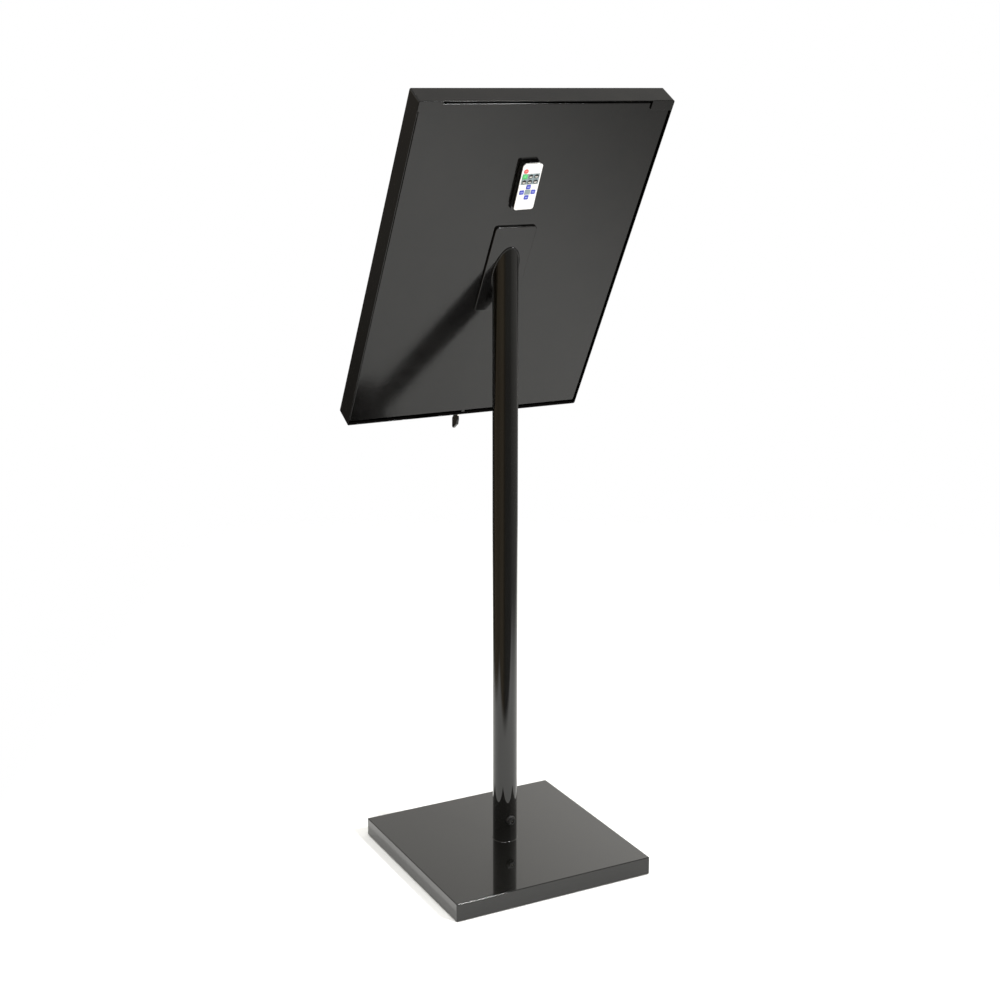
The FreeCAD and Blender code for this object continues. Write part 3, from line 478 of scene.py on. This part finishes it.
VINYL = soft_moulding("vinyl_lead_jacket", "141414", "191919", 0.45, 0.6)
FOAM = soft_moulding("closed_cell_foam_tape", "1f1f1f", "2a2a2a", 0.85, 0.95)
STRIP = soft_moulding("flexible_strip_board", "e6e6e2", "f0f0ec", 0.4, 0.5)
PHOSPHOR = soft_moulding("lamp_phosphor", "e3c93f", "efdc6a", 0.25, 0.35)
RED = silicone_key("red_silicone", "ea6663", "ee716e", "f6b3b0", 31.5, 1.0, 1.7, 0.5)
GREEN = silicone_key("green_silicone", "52c76e", "5fd07a", "a6e6b4", 21.1, 1.0, 1.5, 0.5)
BLACK = silicone_key("black_silicone", "141516", "1c1d1f", "c9c7c2", 10.7, 10.4 * MM, 2.9, 1.6,
                     rim="8f9fa3")
BLUE = silicone_key("blue_silicone", "4450be", "505bc9", "a9b0ea", -9.7, 10.2 * MM, 2.4, 0.75)
FROSTED = moulded_abs("frosted_acrylic", "a9a9a6", "cfcfcc", 0.2, 0.35)

FINISH_OF_SLOT = {
    "gloss_enamel": GLOSS, "powder_coat": SATIN, "raw_steel": STEEL, "zinc": ZINC,
    "spacer_aluminium": ALUMINIUM, "foot_rubber": RUBBER, "inlet_plastic": BLACK_ABS,
    "lead_jacket": VINYL, "nickel": NICKEL, "bronze": BRONZE, "white_enamel": white_board(),
    "strip_white": STRIP, "led_phosphor": PHOSPHOR, "foam_tape": FOAM, "clear_acrylic": acrylic(),
    "moulded_black": BLACK_ABS, "remote_white": WHITE_ABS, "pcb_green": circuit_board(),
    "button_red": RED, "button_green": GREEN, "button_black": BLACK, "button_blue": BLUE,
}

for part in frame["record"]["subparts"]:
    node = NODES[part["node"]]
    node.data.materials.clear()
    node.data.materials.append(FINISH_OF_SLOT[part["material_slot"]])
NODES["remote_emitter"].data.materials[0] = FROSTED


# ---------------------------------------------------------------- base and column

SHELL_LOW, SHELL_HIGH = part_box("base_shell")
BASE_HALF = SHELL_HIGH.x
BASE_TOP = SHELL_HIGH.z
BASE_SHEET = 2.0 * MM
COLUMN_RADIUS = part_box("column")[1].x
COLUMN_WALL = 1.5 * MM
PLATE_REAR = span("mount_plate", W)[0] - CASE_W


def upright(x, y, z):
    """Points given as separate arrays in the common frame."""
    return np.stack([x, y, z], -1)


def base_enclosure():
    """Folded box, open below: a profile from the middle of its top, over the edge, down the wall
    and back under the top, carried round a rounded square."""
    profile = softened([
        (BASE_HALF, BASE_TOP, 0.0), (0.0, BASE_TOP, 1.6 * MM),
        (0.0, SHELL_LOW.z, 0.5 * MM), (BASE_SHEET, SHELL_LOW.z, 0.5 * MM),
        (BASE_SHEET, BASE_TOP - BASE_SHEET, 0.6 * MM), (BASE_HALF, BASE_TOP - BASE_SHEET, 0.0),
    ])
    surface = carried_to_centre(profile, BASE_HALF, BASE_HALF, 2.2 * MM, upright)
    make_piece("base_enclosure", [(surface, False, True)], "stand", GLOSS,
               replaces="base_shell")


def cut_height(x, y, w):
    """Height at which an upright line meets the plane at depth w in the case."""
    return (CASE_W + w - x * W[0] - y * W[1]) / W[2]


def column_tube():
    """Round tube with a slanted top: a small fillet at its foot, the outside, then the bore.

    Each ring is a circle at a share of the way from the foot to the slanted plane, so the rings
    tilt more and more towards the top."""
    foot_rings, side_rings, flare = 7, 30, 1.3 * MM
    turn = np.linspace(0.0, 2.0 * math.pi, 192, endpoint=False)
    quarter = np.linspace(0.0, 1.0, foot_rings) * math.pi / 2.0
    foot_radius = COLUMN_RADIUS + flare * (1.0 - np.sin(quarter))
    foot_height = BASE_TOP + flare * (1.0 - np.cos(quarter))
    bore = COLUMN_RADIUS - COLUMN_WALL
    radius = np.concatenate([foot_radius, np.full(side_rings, COLUMN_RADIUS), np.full(2, bore)])
    rise = np.concatenate([np.zeros(foot_rings), np.linspace(0.02, 1.0, side_rings), [1.0, 0.0]])
    floor_z = np.concatenate([
        foot_height, np.full(side_rings, BASE_TOP + flare), np.full(2, BASE_TOP)])
    x = radius[:, None] * np.cos(turn)
    y = radius[:, None] * np.sin(turn)
    z = floor_z[:, None] + rise[:, None] * (cut_height(x, y, PLATE_REAR) - floor_z[:, None])
    surface = upright(x, y, z)
    make_piece("column_tube", [(surface, True, True)], "stand", GLOSS,
               replaces="column")


def column_weld():
    """Fillet weld along the column's slanted top: a ring of overlapping scales.

    The path is the ellipse where the column meets the plate; the bead's radius in mm is a mean
    size plus a ripple per scale, leaning to one side so that each scale overlaps the next, plus a
    slow waver of the hand."""
    scales, mean, ripple, waver, flat = 58.0, 1.7, 0.5, 0.5, 1.15
    turn = np.linspace(0.0, 2.0 * math.pi, 720, endpoint=False)
    round_bead = np.linspace(0.0, 2.0 * math.pi, 14, endpoint=False)
    x = COLUMN_RADIUS * np.cos(turn)
    y = COLUMN_RADIUS * np.sin(turn)
    path = upright(x, y, cut_height(x, y, PLATE_REAR))
    outward = upright(np.cos(turn), np.sin(turn), np.zeros_like(turn))
    outward -= (outward @ W)[:, None] * W
    outward /= np.linalg.norm(outward, axis=1)[:, None]
    phase = (turn * scales / (2.0 * math.pi)) % 1.0
    hand = 0.25 * np.sin(turn * 5.0 + 0.7) + 0.2 * np.sin(turn * 11.0 + 2.1)
    size = (mean + ripple * (phase ** 0.6 - 0.5) + waver * hand)[:, None] * MM
    across = outward[:, None, :] * (np.cos(round_bead) * flat)[None, :, None]
    along_w = W[None, None, :] * np.sin(round_bead)[None, :, None]
    surface = path[:, None, :] + size[..., None] * (across + along_w)
    make_piece("column_weld", [(surface, True, True)], "stand", SATIN,
               replaces="weld_bead", crease=60.0)


def plate_body():
    """Mount plate with soft enamelled edges: a rounded edge profile carried round a rounded
    rectangle, closed in the middle of each face."""
    (low_u, high_u), (low_v, high_v), (low_w, high_w) = (span("mount_plate", d) for d in (U, V, W))
    middle_v = (low_v + high_v) / 2.0 - CASE_V

    def place(x, y, height):
        return case_point(x, middle_v + y, height)

    surface = slab(1.1 * MM, (high_u - low_u) / 2.0, (high_v - low_v) / 2.0, 6.0 * MM,
                   low_w - CASE_W, high_w - CASE_W, place)
    make_piece("plate_body", [(surface, False, True)], "stand", SATIN,
               replaces="mount_plate")


base_enclosure()
column_tube()
column_weld()
plate_body()


# ---------------------------------------------------------------- lid

LID_HALF_U = LID_U[1]
LID_HALF_V = (LID_V[1] - LID_V[0]) / 2.0
LID_DEPTH = LID_W[1] - LID_W[0]
# The sight opening is one A2 sheet, 420 by 594 mm.
BORDER_U = LID_HALF_U - 210.0 * MM
BORDER_V = LID_HALF_V - 297.0 * MM
LID_CORNER = 3.0 * MM


def folded_lid():
    """Front border and four walls in one folded sheet: the section of one side carried round.

    The border is wider at the top and bottom than at the sides, so the inset along V grows by the
    difference between the two, spread between the walls and the opening."""
    profile = softened([
        (0.0, 0.0, 0.2 * MM), (0.0, LID_DEPTH, 2.5 * MM), (BORDER_U, LID_DEPTH, 0.4 * MM),
        (BORDER_U, LID_DEPTH - SHEET, 0.3 * MM), (SHEET, LID_DEPTH - SHEET, 1.3 * MM),
        (SHEET, 0.0, 0.2 * MM),
    ])
    inset, height = profile[:, 0], profile[:, 1]
    share = np.clip((inset - 2.0 * SHEET) / (BORDER_U - 4.0 * SHEET), 0.0, 1.0)
    corner = np.maximum(LID_CORNER - inset, 0.3 * MM)
    x, y = rounded_rectangle(
        LID_HALF_U - inset, LID_HALF_V - inset - share * (BORDER_V - BORDER_U), corner)
    surface = case_point(x, y, np.broadcast_to(height[:, None], x.shape))
    make_piece("folded_lid", [(surface, True, True)], "lid", SATIN,
               replaces="lid_frame")


def corner_tabs():
    """The two tabs folded in at the rear rim's upper corners, with rounded edges."""
    half_u, half_v, edge = 21.5 * MM, 9.5 * MM, 0.22 * MM
    grids = []
    for side in (-1.0, 1.0):
        def place(x, y, height, middle_u=side * (LID_HALF_U - half_u)):
            return case_point(middle_u + x, LID_HALF_V - half_v + y, height)

        surface = slab(edge, half_u, half_v, LID_CORNER, 0.0, SHEET, place)
        grids.append((surface, False, True))
    make_piece("corner_tabs", grids, "lid", SATIN, replaces="lid_frame")


folded_lid()
corner_tabs()


# ---------------------------------------------------------------- studio


def plain_floor():
    """A pale paper sweep under the object, whose edges fade out.

    It lies square to VIEW_SIDE, and each side's cover falls smoothly from one to nothing between
    two distances from the column's axis."""
    made, tree = material("pale_matt_floor")
    where = add(tree, "ShaderNodeTexCoord").outputs["Object"]
    cover = None
    for side, full, none in SWEEP_EDGES:
        along = add(tree, "ShaderNodeVectorMath", {0: where, 1: side}, operation="DOT_PRODUCT")
        fade = add(tree, "ShaderNodeMapRange", {
            "Value": along.outputs["Value"], "From Min": full, "From Max": none,
            "To Min": 1.0, "To Max": 0.0}, interpolation_type="SMOOTHSTEP").outputs["Result"]
        cover = fade if cover is None else add(
            tree, "ShaderNodeMath", {0: cover, 1: fade}, operation="MULTIPLY").outputs[0]
    finish_with(made, tree, Base_Color=mottled(tree, 0.8, "f4f4f2", "f8f8f6"), Roughness=0.9,
                IOR=1.3, Alpha=cover)
    turn = np.linspace(0.0, 2.0 * math.pi, 96, endpoint=False)
    points = upright(FLOOR_RADIUS * np.cos(turn), FLOOR_RADIUS * np.sin(turn), np.zeros(len(turn)))
    mesh = bpy.data.meshes.new("plain_floor")
    mesh.from_pydata(points, [], [list(range(len(turn)))])
    mesh.materials.append(made)
    floor = bpy.data.objects.new("plain_floor", mesh)
    bpy.context.scene.collection.objects.link(floor)


def soft_light(name, place, aim, side, power):
    """A square white lamp, aimed at a point and not seen by the camera."""
    lamp = bpy.data.lights.new(name, "AREA")
    lamp.size = side
    lamp.energy = power
    holder = bpy.data.objects.new(name, lamp)
    holder.location = place
    holder.rotation_euler = (Vector(aim) - Vector(place)).to_track_quat("-Z", "Y").to_euler()
    holder.visible_camera = False
    bpy.context.scene.collection.objects.link(holder)


def brightness_by(tree, value, stops):
    """Grey that runs smoothly through stops of (value from -1 to 1, brightness up to 2).

    A ramp holds colours up to one, so it is given half the brightness and its result doubled."""
    from_zero = add(tree, "ShaderNodeMapRange", {"Value": value, "From Min": -1.0, "From Max": 1.0})
    ramp = add(tree, "ShaderNodeValToRGB", {"Fac": from_zero.outputs["Result"]})
    ramp.color_ramp.interpolation = "EASE"
    elements = ramp.color_ramp.elements
    while len(elements) < len(stops):
        elements.new(0.5)
    for element, (at, grey) in zip(elements, stops):
        element.position = (at + 1.0) / 2.0
        element.color = (grey / 2.0, grey / 2.0, grey / 2.0, 1.0)
    doubled = {0: ramp.outputs["Color"], 1: 2.0}
    return add(tree, "ShaderNodeMath", doubled, operation="MULTIPLY").outputs[0]


def studio_walls():
    """White to the eye; for light and reflections, walls that are dark low down and bright in a
    band above, brightest on the -X side, and brownish low on the +X side."""
    world = bpy.data.worlds.new("studio_walls")
    bpy.context.scene.world = world
    world.use_nodes = True
    tree = world.node_tree
    tree.nodes.clear()
    direction = add(tree, "ShaderNodeTexCoord").outputs["Generated"]
    parts = add(tree, "ShaderNodeSeparateXYZ", {"Vector": direction}).outputs
    total = brightness_by(tree, parts["Z"], WALL_BY_HEIGHT)
    for by_height, axis, by_side in BANDS:
        extra = add(tree, "ShaderNodeMath", {
            0: brightness_by(tree, parts["Z"], by_height),
            1: brightness_by(tree, parts[axis], by_side)}, operation="MULTIPLY").outputs[0]
        total = add(tree, "ShaderNodeMath", {0: total, 1: extra}).outputs[0]
    warm = add(tree, "ShaderNodeMapRange", {
        "Value": parts["X"], "From Min": 0.3, "From Max": 0.6}).outputs["Result"]
    low = add(tree, "ShaderNodeMapRange", {
        "Value": parts["Z"], "From Min": 0.3, "From Max": 0.1}).outputs["Result"]
    brown = add(tree, "ShaderNodeMath", {0: warm, 1: low}, operation="MULTIPLY").outputs[0]
    tint = add(tree, "ShaderNodeMix", {
        AMOUNT: brown, FIRST: colour("fffdf8"), SECOND: colour("fbe4c0")},
        data_type="RGBA").outputs[MIXED]
    soft = add(tree, "ShaderNodeBackground", {"Color": tint, "Strength": total})
    white = add(tree, "ShaderNodeBackground", {"Color": colour("ffffff"), "Strength": 1.0})
    seen = add(tree, "ShaderNodeLightPath").outputs["Is Camera Ray"]
    mix = add(tree, "ShaderNodeMixShader", {0: seen, 1: soft.outputs[0], 2: white.outputs[0]})
    add(tree, "ShaderNodeOutputWorld", {"Surface": mix.outputs[0]})


# The sweep's sides: direction, then the distances where its cover starts to fall and ends.
FLOOR_RADIUS = 3.0
VIEW_SIDE = (0.465, 0.885, 0.0)
SWEEP_EDGES = (
    (VIEW_SIDE, 0.6, 0.82),
    ((-0.885, 0.465, 0.0), 0.75, 1.75),
    ((0.885, -0.465, 0.0), 0.75, 1.05),
    ((-0.465, -0.885, 0.0), 1.6, 2.6),
)

# The walls' brightness by height, from straight down at -1 to straight up at 1, and the bands
# added to it: each is one run of stops by height times one along an axis.
WALL_BY_HEIGHT = (
    (-1.0, 0.75), (-0.68, 0.7), (-0.55, 0.06), (-0.2, 0.06), (-0.05, 0.13), (0.05, 0.2),
    (0.3, 0.65), (0.42, 0.8), (0.55, 0.68), (0.72, 0.5), (1.0, 0.5),
)
HORIZON = ((-0.6, 0.0), (-0.45, 1.0), (0.1, 1.0), (0.3, 0.0))
BANDS = (
    (((-0.2, 0.0), (0.05, 0.15), (0.35, 0.75), (0.5, 0.75), (0.65, 0.0)), "X",
     ((-0.9, 1.0), (-0.58, 1.0), (-0.34, 0.0), (1.0, 0.0))),
    (HORIZON, "X", ((-1.0, 0.25), (-0.6, 0.17), (-0.25, 0.0), (0.52, 0.0), (0.75, 0.3))),
    (HORIZON, "Y", ((0.0, 0.0), (0.5, 0.12), (1.0, 0.12))),
)

plain_floor()
studio_walls()
soft_light("overhead", (0.35, 0.35, 3.8), (0.0, 0.0, 0.0), 1.6, 115.0)
soft_light("key_light", (-1.4, 2.9, 3.0), (0.0, 0.0, 1.2), 0.5, 150.0)


def camera():
    """Behind the stand, to one side and level with the case's top, tilted down a little."""
    eye = bpy.data.cameras.new("camera")
    eye.lens, eye.sensor_width = 59.3, 36.0
    eye.clip_start, eye.clip_end = 0.05, 100.0
    holder = bpy.data.objects.new("camera", eye)
    holder.location = (1.349, 2.569, 1.4255)
    turn, tilt = math.radians(152.48), math.radians(14.04)
    level = math.cos(tilt)
    back = Vector((math.sin(turn) * level, -math.cos(turn) * level, math.sin(tilt)))
    holder.rotation_euler = (-back).to_track_quat("-Z", "Y").to_euler()
    bpy.context.scene.collection.objects.link(holder)
    bpy.context.scene.camera = holder


camera()
bpy.context.scene.view_settings.view_transform = "Standard"
